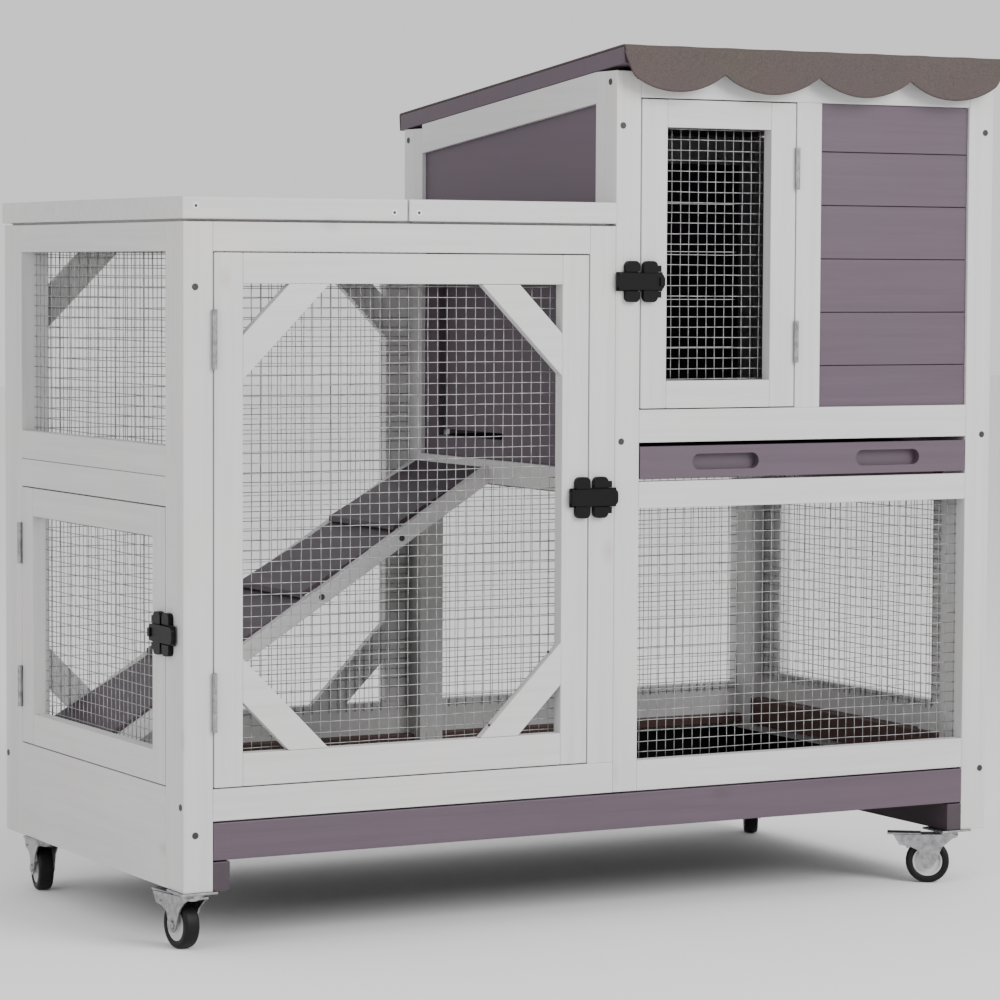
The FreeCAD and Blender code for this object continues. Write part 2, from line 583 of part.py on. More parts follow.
fixed_leaves = []
for name, (start, across, through, wide, low, high, hinge_end, braced) in DOORS.items():
    place = (start, across, through)
    gap = size["door_gap"]
    stile = size["door_stile"]
    z0 = low + gap
    z1 = high - gap
    thick = size["board"]
    sill = z0 + size["door_bottom_rail"]
    head = z1 - size["door_top_rail"]
    if name == "window":
        sill = z0 + size["window_door_rail"]
        head = z1 - size["window_door_rail"]
    made(f"{name}_door_stiles", Part.makeCompound([
        slab(place, gap, gap + stile, 0, thick, z0, z1),
        slab(place, wide - gap - stile, wide - gap, 0, thick, z0, z1),
    ]))
    seam = size["seam"]
    bars = [slab(place, gap + stile, wide - gap - stile, 0, thick, z0, sill),
            slab(place, gap + stile, wide - gap - stile, 0, thick, head, z1)]
    if braced:
        near = start + across * (gap + stile) + V(0, 0, sill)
        far = start + across * (wide - gap - stile) + V(0, 0, head)
        bars += four_braces(near, far, seam)
    made(f"{name}_door_rails", Part.makeCompound(bars))
    inner_u = gap + stile - lap
    outer_u = wide - gap - stile + lap
    made(f"{name}_door_mesh", mesh_sheet(
        across, start + across * inner_u + through * thick + V(0, 0, sill - lap),
        outer_u - inner_u, head - sill + 2 * lap, through * wire))
    post_u, sign = (0, 1) if hinge_end == "near" else (wide, -1)
    length = size["run_hinge_length"] if braced else size["hinge_length"]
    inset = size[f"{name}_hinge_inset"]
    moving_leaves = []
    for middle in (z0 + inset, z1 - inset):
        fixed, moving = butt_hinge(place, post_u, sign, middle, length)
        fixed_leaves.append(fixed)
        moving_leaves.append(moving)
    made(f"{name}_door_hinges", Part.makeCompound(moving_leaves))

# ---- slide latches: a slotted plate on each door, an open one on the frame, and a bolt ------
# The bolt's wide foot runs under the lips of the door's plate; its bar stands in front.
def rounded_plate(place, u0, u1, w0, w1, z0, z1):
    """A slab whose four corners are rounded as seen from the front."""
    body = slab(place, u0, u1, w0, w1, z0, z1)
    through = place[2]
    corners = [edge for edge in body.Edges
               if abs(edge.tangentAt(edge.FirstParameter).dot(through)) > 0.9]
    return body.makeFillet(min(size["latch_corner"], (u1 - u0) / 3, (z1 - z0) / 3), corners)


LATCH_HEIGHTS = {"run": size["run_latch_high"], "side": size["side_latch_high"],
                 "window": size["window_latch_high"]}
keepers = []
for name, (start, across, through, wide, low, high, hinge_end, braced) in DOORS.items():
    place = (start, across, through)
    edge, sign = (wide, 1) if hinge_end == "near" else (0, -1)
    middle = LATCH_HEIGHTS[name]
    half = size["latch_height"] / 2
    bar_half = size["bolt_height"] / 2
    foot_half = bar_half + size["bolt_foot"]
    play = size["latch_clearance"]
    slot_back = -size["latch_plate"]
    foot_back = slot_back - play
    foot_front = foot_back - size["bolt_foot_thick"]
    bar_front = foot_front - size["bolt_thickness"]
    lip_back = foot_front - play
    plate_front = lip_back - size["latch_lip"]
    hinge_side = edge - sign * size["door_gap"]
    ends = sorted((hinge_side, hinge_side - sign * size["latch_width"]))
    sleeve = rounded_plate(place, ends[0], ends[1], plate_front, 0, middle - half, middle + half)
    post_edge = edge + sign * size["keeper_offset"]
    keeper_ends = sorted((post_edge, post_edge + sign * size["keeper_width"]))
    keeper = rounded_plate(place, keeper_ends[0], keeper_ends[1], plate_front, 0, middle - half,
                           middle + half)
    # Two lugs stand out of one plate, on the side away from the gap.
    lug_from = post_edge + sign * (size["keeper_width"] - 1)
    lug_to = lug_from + sign * size["latch_lug"]
    if hinge_end == "far":
        lug_from = hinge_side - sign * (size["latch_width"] - 1)
        lug_to = lug_from - sign * size["latch_lug"]
    for side in (-1, 1):
        lug_z = middle + side * size["lug_offset"]
        lug_ends = sorted((lug_from, lug_to))
        lug = slab(place, lug_ends[0], lug_ends[1], plate_front, 0,
                   lug_z - size["lug_high"] / 2, lug_z + size["lug_high"] / 2)
        if hinge_end == "far":
            sleeve = sleeve.fuse(lug)
        else:
            keeper = keeper.fuse(lug)
    slot = slab(place, ends[0] - 1, ends[1] + 1, lip_back, slot_back,
                middle - foot_half - play, middle + foot_half + play)
    mouth = slab(place, ends[0] - 1, ends[1] + 1, plate_front - 1, lip_back,
                 middle - bar_half - play, middle + bar_half + play)
    made(f"{name}_door_latch", sleeve.cut(slot).cut(mouth).removeSplitter())
    channel = slab(place, keeper_ends[0] - 1, keeper_ends[1] + size["latch_lug"],
                   plate_front - 1, slot_back, middle - foot_half - play,
                   middle + foot_half + play)
    keepers.append(keeper.cut(channel).removeSplitter())
    tip = post_edge + sign * (size["keeper_width"] + size["bolt_past_keeper"])
    ends = sorted((tip, tip - sign * size["bolt_length"]))
    foot = slab(place, ends[0] + play, ends[1] - play, foot_front, foot_back,
                middle - foot_half, middle + foot_half)
    bar = rounded_plate(place, ends[0], ends[1], bar_front, foot_front, middle - bar_half,
                        middle + bar_half)
    thumb = tip - sign * size["bolt_length"]
    ends = sorted((thumb + sign * play, thumb + sign * size["thumb_width"]))
    knob = slab(place, ends[0], ends[1], bar_front - size["thumb_proud"], bar_front,
                middle - bar_half / 2, middle + bar_half / 2)
    made(f"{name}_bolt", bar.fuse(foot).fuse(knob).removeSplitter())
made("latch_keepers", Part.makeCompound(keepers))

# ---- the two pull-out trays --------------------------------------------------------------
def open_tray(x0, x1, y0, y1, z0, z1):
    """A thin-walled tray, open at the top."""
    walls = size["tray_wall"]
    return block(x0, x1, y0, y1, z0, z1).cut(
        block(x0 + walls, x1 - walls, y0 + walls, y1 - walls, z0 + walls, z1 + 1))


def stadium(x0, x1, middle, high, y0, y1):
    """A round-ended finger slot through a front board."""
    r = high / 2
    body = block(x0 + r, x1 - r, y0, y1, middle - r, middle + r)
    for x in (x0 + r, x1 - r):
        body = body.fuse(rod(V(x, y0, middle), NORTH, r, y1 - y0))
    return body.removeSplitter()


front_board = size["tray_board"]
gap = size["door_gap"]
house_right = size["width"] - size["post_width"]
tray_front = block(house_left + gap, house_right - gap, 0, front_board, size["tray_front_low"],
                   size["tray_front_high"])
slot_middle = (size["tray_front_low"] + size["tray_front_high"]) / 2
for x in (size["slot_first"], size["slot_second"]):
    tray_front = tray_front.cut(stadium(x, x + size["slot_length"], slot_middle,
                                        size["slot_height"], -1, size["slot_deep"]))
made("house_tray_front", tray_front)
pan_clear = size["pan_clear"]
made("house_tray_pan", open_tray(house_left + pan_clear, house_right - pan_clear, front_board,
                                 back_y + size["pan_reach"], size["tray_front_low"],
                                 size["tray_front_high"] - size["tray_rim_drop"]))
run_left = size["post_width"] + size["tray_clear"]
made("wide_tray_front", block(run_left, size["width"] - run_left, 0, front_board,
                              size["big_tray_front_low"], size["big_tray_front_high"]))
made("wide_tray_pan", open_tray(run_left + pan_clear, size["width"] - run_left - pan_clear,
                                front_board, back_inside - size["tray_back_gap"],
                                size["bearer_top"] + size["tray_clear"],
                                size["big_tray_wall_high"]))

# ---- lid over the house: a board, felt on top with a scalloped flap at the front ----------
pitch = math.degrees(math.atan2(size["front_eave"] - size["back_eave"], size["depth"]))
lid_left = size["run_length"]
lid_right = size["width"] + 1


def tilt(shape):
    """Turn a flat shape, drawn with its underside at z = 0, into the roof's slope."""
    shape.rotate(V(0, 0, 0), V(1, 0, 0), -pitch)
    shape.translate(V(0, 0, size["front_eave"] + size["lid_gap"]))
    return shape


roof_long = (size["depth"] + size["roof_front"] + size["roof_back"]) / math.cos(
    math.radians(pitch))
lid_board = Part.makeBox(lid_right - lid_left, roof_long, size["roof_board"],
                         V(lid_left, -size["roof_front"], 0))
made("roof_lid", tilt(lid_board))
felt = size["roof_felt"]
flap_reach = felt + size["flap_reach"]
felt_top = tilt(Part.makeBox(lid_right - lid_left,
                             roof_long + flap_reach + size["flap_gap"] + felt, felt,
                             V(lid_left, -size["roof_front"] - flap_reach, size["roof_board"])))
back_curl = tilt(Part.makeBox(lid_right - lid_left, felt, size["roof_board"] + felt,
                              V(lid_left, roof_long - size["roof_front"] + size["flap_gap"], 0)))
flap_back = lid_board.BoundBox.YMin - size["flap_gap"]
flap_front = flap_back - felt
flap_ceiling = size["front_eave"] + size["lid_gap"] + size["roof_board"] + felt
flap_left = lid_left + size["flap_inset"]
flap_right = lid_right - 2 * size["flap_inset"]
lobe_wide = (flap_right - flap_left) / size["flap_lobes"]
corners = [V(flap_left, flap_front, size["flap_top"]), V(flap_left, flap_front, flap_ceiling),
           V(flap_right, flap_front, flap_ceiling), V(flap_right, flap_front, size["flap_top"])]
edges = [Part.makeLine(one, two) for one, two in zip(corners, corners[1:])]
for i in range(int(size["flap_lobes"])):
    x1 = flap_right - i * lobe_wide
    edges.append(Part.Arc(V(x1, flap_front, size["flap_top"]),
                          V(x1 - lobe_wide / 2, flap_front, size["flap_low"]),
                          V(x1 - lobe_wide, flap_front, size["flap_top"])).toShape())
flap = Part.Face(Part.Wire(edges)).extrude(V(0, felt, 0))
made("roof_felt", felt_top.fuse(back_curl).fuse(flap).removeSplitter())

# ---- strap hinges at the back of the lid --------------------------------------------------
# The pivot stands behind the back frame; one leaf screws to the frame, one to the lid's edge.
pivot_y = size["depth"] + size["lid_pivot_back"]
pivot_z = size["lid_pivot_high"]
radius = size["barrel_radius"]
leaf = size["lid_hinge_leaf"]
lid_leaves = []
for x in (size["lid_hinge_first"], size["lid_hinge_second"]):
    third = size["lid_hinge_width"] / 3
    gap = size["barrel_gap"] / 2
    last = x + size["lid_hinge_width"]
    fixed = block(x, last, size["depth"], size["depth"] + leaf,
                  pivot_z - size["lid_hinge_high"], pivot_z - radius - 1)
    for x0, x1 in ((x, x + third - gap), (last - third + gap, last)):
        fixed = fixed.fuse(block(x0, x1, size["depth"], size["depth"] + leaf,
                                 pivot_z - radius - 2, pivot_z))
        fixed = fixed.fuse(rod(V(x0, pivot_y, pivot_z), EAST, radius, x1 - x0))
    fixed = fixed.fuse(rod(V(x, pivot_y, pivot_z), EAST, size["pin_radius"], last - x))
    fixed_leaves.append(fixed.removeSplitter())
    moving = rod(V(x + third + gap, pivot_y, pivot_z), EAST, radius, third - 2 * gap)
    arm = block(x + third + gap, last - third - gap, pivot_y + radius - leaf,
                pivot_y + radius, pivot_z, pivot_z + size["lid_arm_high"])
    moving = moving.fuse(arm)
    moving = moving.cut(rod(V(x, pivot_y, pivot_z), EAST,
                            size["pin_radius"] + size["pin_clearance"], last - x))
    moving = moving.cut(lid_board)
    lid_leaves.append(moving.removeSplitter())
made("roof_hinges", Part.makeCompound(lid_leaves))
made("hinge_leaves", Part.makeCompound(fixed_leaves))

# ---- four swivel casters, each with a toe brake -------------------------------------------
# A caster is drawn with its swivel line on Z and z = 0 at the underside of the frame.
UP = V(0, 0, 1)
wheel_out = size["caster_trail"]
wheel_down = size["caster_height"] - size["wheel_radius"]
race_high = size["plate_thick"] + size["fork_play"]
crown_high = race_high + size["race_depth"]
crown_low = crown_high + size["crown_thick"]
fork_outer = size["fork_inside"] + size["fork_thick"]
pedal_y = size["pedal_pivot_out"]
pedal_z = size["pedal_pivot_down"]


def cross_rod(y, z, radius, half):
    """A rod across the fork, centred on it."""
    return rod(V(-half, y, z), EAST, radius, 2 * half)


def upright_plate(outline, x0, x1):
    """A flat outline in the caster's y and z, between two x planes."""
    return prism([V(x0, y, z) for y, z in outline], V(x1 - x0, 0, 0))


def caster_plate():
    """The fixed plate with its kingpin and the pin's head under the fork."""
    half = size["plate_side"] / 2
    plate = block(-half, half, -half, half, -size["plate_thick"], 0)
    head_top = crown_low + size["fork_play"]
    head_low = head_top + size["pin_head_thick"]
    pin = rod(V(0, 0, -head_low), UP, size["kingpin_radius"], head_low - size["plate_thick"] / 2)
    head = rod(V(0, 0, -head_low), UP, size["pin_head"], size["pin_head_thick"])
    return plate.fuse(pin).fuse(head).removeSplitter()


def caster_fork():
    """Ball race, crown, two legs with a wing for the pedal, riveted axle and pedal pin."""
    half = size["crown_half"]
    race = rod(V(0, 0, -crown_low), UP, size["race_radius"], crown_low - race_high)
    fork = race.fuse(block(-fork_outer, fork_outer, -half, half, -crown_low, -crown_high))
    fork = fork.cut(rod(V(0, 0, -crown_low - 1), UP,
                        size["kingpin_radius"] + size["pin_clearance"], crown_low))
    axle_z = -wheel_down
    foot = axle_z - size["rivet_radius"] - size["fork_thick"] * 2
    wing_top = -size["pedal_down"] - size["pedal_thick"]
    wing_low = -pedal_z - size["rivet_radius"]
    outline = [(-half, -crown_high), (half, -crown_high), (pedal_y + 18, wing_top),
               (pedal_y + 10, wing_low + 2), (pedal_y - 4, wing_low), (pedal_y - 15, wing_low - 5),
               (wheel_out + 9, axle_z + 4), (wheel_out + 8, axle_z - 5), (wheel_out + 4, foot + 1),
               (wheel_out - 4, foot + 1), (wheel_out - 9, axle_z - 4), (wheel_out - 19, wing_low),
               (-half / 2, -crown_low - 3), (-half, -crown_low)]
    for x0, x1 in ((-fork_outer, -size["fork_inside"]), (size["fork_inside"], fork_outer)):
        fork = fork.fuse(upright_plate(outline, x0, x1))
    fork = fork.fuse(cross_rod(wheel_out, axle_z, size["axle_radius"], fork_outer))
    fork = fork.fuse(cross_rod(pedal_y, -pedal_z, size["pin_radius"],
                               fork_outer + size["rivet_proud"]))
    heads = cross_rod(wheel_out, axle_z, size["rivet_radius"], fork_outer + size["rivet_proud"])
    heads = heads.cut(cross_rod(wheel_out, axle_z, size["rivet_radius"] + 1,
                                size["fork_inside"] + size["fork_thick"] / 2))
    return fork.fuse(heads).removeSplitter()


def caster_wheel():
    """A rubber tread on a plastic hub, with a shallow step where they meet."""
    half = size["wheel_width"] / 2
    body = cross_rod(wheel_out, -wheel_down, size["wheel_radius"], half)
    rounded = [edge for edge in body.Edges if edge.Length > size["wheel_radius"] * 5]
    body = body.makeChamfer(size["tread_round"], rounded)
    step = cross_rod(wheel_out, -wheel_down, size["hub_radius"], half + 1)
    step = step.cut(cross_rod(wheel_out, -wheel_down, size["hub_radius"] + 1,
                              half - size["hub_step"]))
    body = body.cut(step)
    boss = cross_rod(wheel_out, -wheel_down, size["rivet_radius"] + 2, half)
    body = body.fuse(boss)
    return body.cut(cross_rod(wheel_out, -wheel_down,
                              size["axle_radius"] + size["axle_clearance"], half + 2))


def caster_pedal():
    """The toe pedal: a pad, two cheeks on the pin and a bar that meets the tread."""
    half = size["pedal_half"]
    pad_top = -size["pedal_down"]
    pad_low = pad_top - size["pedal_thick"]
    pad = block(-half, half, size["pedal_start"], size["pedal_end"], pad_low, pad_top)
    bar_y = pedal_y - 1
    bar_z = -pedal_z - 5.5
    cheek = [(pedal_y - 8, pad_low + 1), (pedal_y + 8, pad_low + 1),
             (pedal_y + 5, -pedal_z - 4), (bar_y, bar_z), (bar_y - 4, -pedal_z - 4)]
    pedal = pad
    thick = size["cheek_thick"]
    for x0, x1 in ((-half, thick - half), (half - thick, half)):
        pedal = pedal.fuse(upright_plate(cheek, x0, x1))
    pedal = pedal.fuse(cross_rod(bar_y, bar_z, size["brake_bar"], half))
    return pedal.cut(cross_rod(pedal_y, -pedal_z, size["pin_radius"] + size["pin_clearance"],
                               half + 1))


back_caster = size["back_caster"]
CASTERS = {
    "front_left": (size["caster_inset"], size["front_caster"]),
    "back_left": (size["caster_inset"], back_caster),
    "front_right": (size["width"] - size["front_right_inset"], size["front_caster"]),
    "back_right": (size["width"] - size["back_right_inset"], back_caster),
}
plates = []
for name, (x, y) in CASTERS.items():
    spot = V(x, y, size["caster_height"])
    plate = caster_plate()
    plate.translate(spot)
    plates.append(plate)
    for kind, build in (("fork", caster_fork), ("wheel", caster_wheel), ("pedal", caster_pedal)):
        part = made(f"caster_{kind}_{name}", build())
        turn = FreeCAD.Rotation(UP, size[f"turn_{name}"])
        part.Placement = FreeCAD.Placement(spot - ORIGIN, turn)
made("caster_plates", Part.makeCompound(plates))

# ---- screw heads --------------------------------------------------------------------------
post_mid = size["run_length"] + size["screw_inset"]
rail_low = size["window_rail_low"] + 2
FRONT_SCREWS = ((post_mid, size["screw_top"]), (post_mid, rail_low),
                (size["width"] - size["post_width"] / 3, size["screw_top"] + 3),
                (size["width"] - size["post_width"] / 3, rail_low),
                (size["width"] - size["screw_inset"], size["base_low"] - 3),
                (size["post_width"] * 0.4, size["run_frame_top"] - 76),
                (size["post_width"] * 0.4, size["caster_height"] + 68))
heads = [rod(V(x, 0, z), -NORTH, size["screw_radius"], size["screw_proud"])
         for x, z in FRONT_SCREWS]
for y in (size["screw_side"], size["depth"] - size["screw_side"]):
    heads.append(rod(V(0, y, size["base_low"] + 18), -EAST, size["screw_radius"],
                     size["screw_proud"]))
for y, z in ((size["screw_side"] * 2, eave(0) - 19), (size["depth"] - 12, size["back_eave"] - 15)):
    heads.append(rod(V(size["run_length"], y, z), -EAST, size["screw_radius"],
                     size["screw_proud"]))
for x in (size["post_width"] + 12 + ramp_run * 0.53, size["run_length"] * 0.78):
    heads.append(rod(V(x, ramp_front, ramp_line(x, -size["ramp_rail"] / 2)), -NORTH,
                     size["screw_radius"], size["screw_proud"]))
made("screws", Part.makeCompound(heads))

# ---- check every object, then write one file per sub-part ---------------------------------
doc.recompute()
for item in doc.Objects:
    if "Invalid" in item.State or "Error" in item.State:
        raise RuntimeError(f"{item.Label} did not build")
for item in nodes:
    if item.Shape.isNull() or not item.Shape.isValid():
        raise RuntimeError(f"{item.Label} has a broken shape")
os.makedirs("parts", exist_ok=True)
for item in nodes:
    item.Shape.exportStep(f"parts/{item.Label}.step")
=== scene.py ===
import json
import math

import bpy
import numpy as np
from mathutils import Matrix, Vector


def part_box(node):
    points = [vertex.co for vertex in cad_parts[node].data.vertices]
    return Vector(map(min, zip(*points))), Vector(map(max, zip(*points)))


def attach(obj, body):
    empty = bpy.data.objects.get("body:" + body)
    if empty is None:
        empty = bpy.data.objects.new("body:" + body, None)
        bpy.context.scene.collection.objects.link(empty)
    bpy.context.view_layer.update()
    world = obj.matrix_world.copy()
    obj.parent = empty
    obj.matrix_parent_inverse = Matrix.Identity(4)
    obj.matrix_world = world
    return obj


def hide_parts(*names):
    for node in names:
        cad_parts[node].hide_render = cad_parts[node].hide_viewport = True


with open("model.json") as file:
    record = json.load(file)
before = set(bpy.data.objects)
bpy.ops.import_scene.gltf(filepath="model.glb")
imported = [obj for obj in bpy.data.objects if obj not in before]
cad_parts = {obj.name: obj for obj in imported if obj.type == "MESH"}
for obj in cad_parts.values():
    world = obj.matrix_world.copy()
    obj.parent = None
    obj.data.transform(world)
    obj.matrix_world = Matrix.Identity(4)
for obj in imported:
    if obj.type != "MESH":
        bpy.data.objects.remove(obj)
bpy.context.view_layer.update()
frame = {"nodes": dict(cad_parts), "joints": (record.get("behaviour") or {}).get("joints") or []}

# ---- painted frame of posts, rails and stiles ----------------------------------------------
# Planed softwood boards, spray-painted a pale warm grey, glued and screwed into flat frames.
# The grain still shows faintly through the paint, and every long edge is eased by sanding.
PALE_PAINT = (0.610, 0.600, 0.600)
EASED_EDGE = 0.0011


def node_link(tree, source, socket, target, name):
    """Joins one node's output socket to another node's input socket."""
    tree.links.new(source.outputs[socket], target.inputs[name])


def painted_wood(name, paint, along, streak=0.10, knots=0.5):
    """Paint over softwood with the grain along one axis of the object (0, 1 or 2).

    Streaks are noise stretched forty times along the board; knots are rare dark spots where
    the paint has yellowed; both also lift the surface a little.
    """
    material = bpy.data.materials.new(name)
    material.use_nodes = True
    tree = material.node_tree
    shader = tree.nodes["Principled BSDF"]
    where = tree.nodes.new("ShaderNodeTexCoord")
    stretch = tree.nodes.new("ShaderNodeMapping")
    scale = [95.0, 95.0, 95.0]
    scale[along] = 2.4
    stretch.inputs["Scale"].default_value = scale
    node_link(tree, where, "Object", stretch, "Vector")
    grain = tree.nodes.new("ShaderNodeTexNoise")
    grain.inputs["Scale"].default_value = 1.0
    grain.inputs["Detail"].default_value = 7.0
    grain.inputs["Roughness"].default_value = 0.62
    grain.inputs["Distortion"].default_value = 0.5
    node_link(tree, stretch, "Vector", grain, "Vector")
    patch = tree.nodes.new("ShaderNodeTexNoise")
    patch.inputs["Scale"].default_value = 6.5
    patch.inputs["Detail"].default_value = 3.0
    node_link(tree, where, "Object", patch, "Vector")
    # Knots sit in cells a hand's width apart and a little longer along the board.
    cells = tree.nodes.new("ShaderNodeMapping")
    cell_scale = [9.0, 9.0, 9.0]
    cell_scale[along] = 5.0
    cells.inputs["Scale"].default_value = cell_scale
    node_link(tree, where, "Object", cells, "Vector")
    knot = tree.nodes.new("ShaderNodeTexVoronoi")
    knot.inputs["Scale"].default_value = 1.0
    node_link(tree, cells, "Vector", knot, "Vector")
    spot = tree.nodes.new("ShaderNodeMapRange")
    spot.interpolation_type = "SMOOTHSTEP"
    spot.inputs["From Min"].default_value = 0.02
    spot.inputs["From Max"].default_value = 0.12
    spot.inputs["To Min"].default_value = knots
    spot.inputs["To Max"].default_value = 0.0
    node_link(tree, knot, "Distance", spot, "Value")
    dark = tuple(channel * (1.0 - streak) for channel in paint)
    ramp = tree.nodes.new("ShaderNodeValToRGB")
    ramp.color_ramp.elements[0].position = 0.30
    ramp.color_ramp.elements[0].color = (*dark, 1)
    ramp.color_ramp.elements[1].position = 0.60
    ramp.color_ramp.elements[1].color = (*paint, 1)
    node_link(tree, grain, "Fac", ramp, "Fac")
    cloudy = tree.nodes.new("ShaderNodeMix")
    cloudy.data_type = "RGBA"
    cloudy.blend_type = "MULTIPLY"
    cloudy.inputs["Factor"].default_value = 0.10
    node_link(tree, ramp, "Color", cloudy, "A")
    node_link(tree, patch, "Color", cloudy, "B")
    stained = tree.nodes.new("ShaderNodeMix")
    stained.data_type = "RGBA"
    stained.inputs["B"].default_value = (paint[0] * 0.62, paint[1] * 0.55, paint[2] * 0.50, 1)
    node_link(tree, cloudy, "Result", stained, "A")
    node_link(tree, spot, "Result", stained, "Factor")
    node_link(tree, stained, "Result", shader, "Base Color")
    gloss = tree.nodes.new("ShaderNodeMapRange")
    gloss.inputs["To Min"].default_value = 0.42
    gloss.inputs["To Max"].default_value = 0.62
    node_link(tree, grain, "Fac", gloss, "Value")
    node_link(tree, gloss, "Result", shader, "Roughness")
    relief = tree.nodes.new("ShaderNodeBump")
    relief.inputs["Strength"].default_value = 0.35
    relief.inputs["Distance"].default_value = 0.0006
    node_link(tree, grain, "Fac", relief, "Height")
    node_link(tree, relief, "Normal", shader, "Normal")
    return material


def finish_node(node, material, edge):
    """Gives a frame node its material, and eases its sharp edges by the given width."""
    item = frame["nodes"][node]
    item.data.materials.clear()
    item.data.materials.append(material)
    if edge:
        weld = item.modifiers.new("weld", "WELD")
        weld.merge_threshold = 0.00002
        ease = item.modifiers.new("ease", "BEVEL")
        ease.width = edge
        ease.segments = 2
        ease.limit_method = "ANGLE"
        ease.angle_limit = math.radians(35)
    return item


pale = [painted_wood(f"pale paint along {letter}", PALE_PAINT, axis)
        for axis, letter in enumerate("xyz")]
for node, along in (("posts", 2), ("run_front_rails", 0), ("frame_stiles", 2),
                    ("house_front_rails", 0), ("left_side_rails", 1), ("right_side_rails", 1),
                    ("back_rails", 0), ("corner_braces", 2)):
    finish_node(node, pale[along], EASED_EDGE)

# ---- mauve siding and the wall between run and house ---------------------------------------
# Thin tongued boards in a greyed mauve paint, let into the frames a shadow line apart.
MAUVE_PAINT = (0.090, 0.061, 0.085)
mauve = [painted_wood(f"mauve paint along {letter}", MAUVE_PAINT, axis, 0.16, 0.35)
         for axis, letter in enumerate("xyz")]
finish_node("siding_boards", mauve[0], 0.0016)
finish_node("dividing_wall_panel", mauve[1], 0)
finish_node("dividing_wall_rails", pale[1], 0.0008)
finish_node("slide_door", mauve[2], 0.0006)

# ---- ledges and bearers --------------------------------------------------------------------
# Rough red-brown stained battens inside the base, and mauve bearers under the tray, their mauve
# painted darker as painted shade for the shadow under the house.
STAIN = (0.090, 0.042, 0.034)
stained_batten = painted_wood("stained batten", STAIN, 1, 0.35, 0.4)
finish_node("ledger_boards", stained_batten, EASED_EDGE)
# The bearers get the mauve paint at about half its brightness: painted shade, not a darker
# paint.
finish_node("bearers", painted_wood("mauve paint with painted shade", (0.046, 0.030, 0.042), 1, 0.2, 0.3),
            EASED_EDGE)

# ---- ramp ----------------------------------------------------------------------------------
# Four mauve boards overlap like steps between two pale side rails.
finish_node("ramp_rails", pale[0], EASED_EDGE)
finish_node("ramp_boards", painted_wood("ramp paint", (0.050, 0.028, 0.044), 1, 0.3, 0.3),
            0.0005)

# ---- flat roof over the run ----------------------------------------------------------------
# Two pale panels with a shadow step under their edges.
finish_node("run_roof_panels", pale[0], 0.0016)

# ---- welded wire mesh ----------------------------------------------------------------------
# Galvanised 13 mm mesh stapled to the inside of every frame: upright wires welded behind
# level ones. The wires are never quite straight, and the zinc is dull and slightly patchy.
MESH_PITCH = 0.0130
WIRE_RADIUS = 0.00055
WIRE_WANDER = 0.00035
wander = np.random.default_rng(7)


def add_piece(name, vertices, faces, material, smooth=True):
    """A new mesh object at the origin from arrays of points and of quads or triangles."""
    mesh = bpy.data.meshes.new(name)
    loops = [np.asarray(block) for block in faces]
    corners = np.concatenate([block.ravel() for block in loops]).astype(np.int32)
    sizes = np.concatenate([np.full(len(block), block.shape[1]) for block in loops])
    starts = np.concatenate([[0], np.cumsum(sizes)[:-1]]).astype(np.int32)
    mesh.vertices.add(len(vertices))
    mesh.vertices.foreach_set("co", np.asarray(vertices, dtype=np.float32).ravel())
    mesh.loops.add(len(corners))
    mesh.loops.foreach_set("vertex_index", corners)
    mesh.polygons.add(len(sizes))
    mesh.polygons.foreach_set("loop_start", starts)
    mesh.polygons.foreach_set("loop_total", sizes.astype(np.int32))
    mesh.polygons.foreach_set("use_smooth", np.full(len(sizes), smooth))
    mesh.update(calc_edges=True)
    mesh.validate()
    mesh.materials.append(material)
    item = bpy.data.objects.new(name, mesh)
    bpy.context.collection.objects.link(item)
    return item


def tubes(lines, radius, first, second, sides=6):
    """Round tubes along many lines at once.

    lines holds (line, step, xyz). A tube's point is the line's point plus radius times
    (cos a * first + sin a * second), with a going round in sides steps. Both ends are closed.
    """
    count, steps, _ = lines.shape
    turn = np.arange(sides) * 2 * np.pi / sides
    ring = radius * (np.cos(turn)[:, None] * first + np.sin(turn)[:, None] * second)
    points = (lines[:, :, None, :] + ring[None, None, :, :]).reshape(-1, 3)
    index = np.arange(count * steps * sides).reshape(count, steps, sides)
    beside = np.roll(index, -1, axis=2)
    quads = np.stack([index[:, :-1], beside[:, :-1], beside[:, 1:], index[:, 1:]],
                     axis=-1).reshape(-1, 4)
    if np.dot(np.cross(first, second), lines[0, -1] - lines[0, 0]) < 0:
        quads = quads[:, ::-1]
        caps = np.concatenate([index[:, 0, :], index[:, -1, ::-1]])
    else:
        caps = np.concatenate([index[:, 0, ::-1], index[:, -1, :]])
    return points, [quads, caps]


def wire_sheet(low, high, across, inward):
    """Points and faces of one sheet of mesh between two corners of an upright plane.

    Level wires lie one radius in from the plane and upright wires three radii in. Each wire
    follows its straight line plus a slow random wander within the sheet.
    """
    up = np.array([0.0, 0.0, 1.0])
    wide = abs(np.dot(high - low, across))
    tall = high[2] - low[2]
    start = low if np.dot(high - low, across) > 0 else low + (high - low) * (1 - up)
    blocks = []
    for run, step, long, short, depth in ((across, up, wide, tall, 1.0),
                                          (up, across, tall, wide, 3.0)):
        number = int(short / MESH_PITCH)
        margin = (short - number * MESH_PITCH) / 2
        places = margin + MESH_PITCH * np.arange(number + 1)
        along = np.linspace(0, long, max(3, int(long / MESH_PITCH / 2)))
        drift = wander.normal(0, WIRE_WANDER, (len(places), len(along)))
        drift = (drift + np.roll(drift, 1, axis=1) + np.roll(drift, 2, axis=1)) / 2
        lines = (start + along[None, :, None] * run
                 + (places[:, None] + drift)[:, :, None] * step
                 + inward * WIRE_RADIUS * depth)
        blocks.append(tubes(lines, WIRE_RADIUS, step, inward))
    return blocks


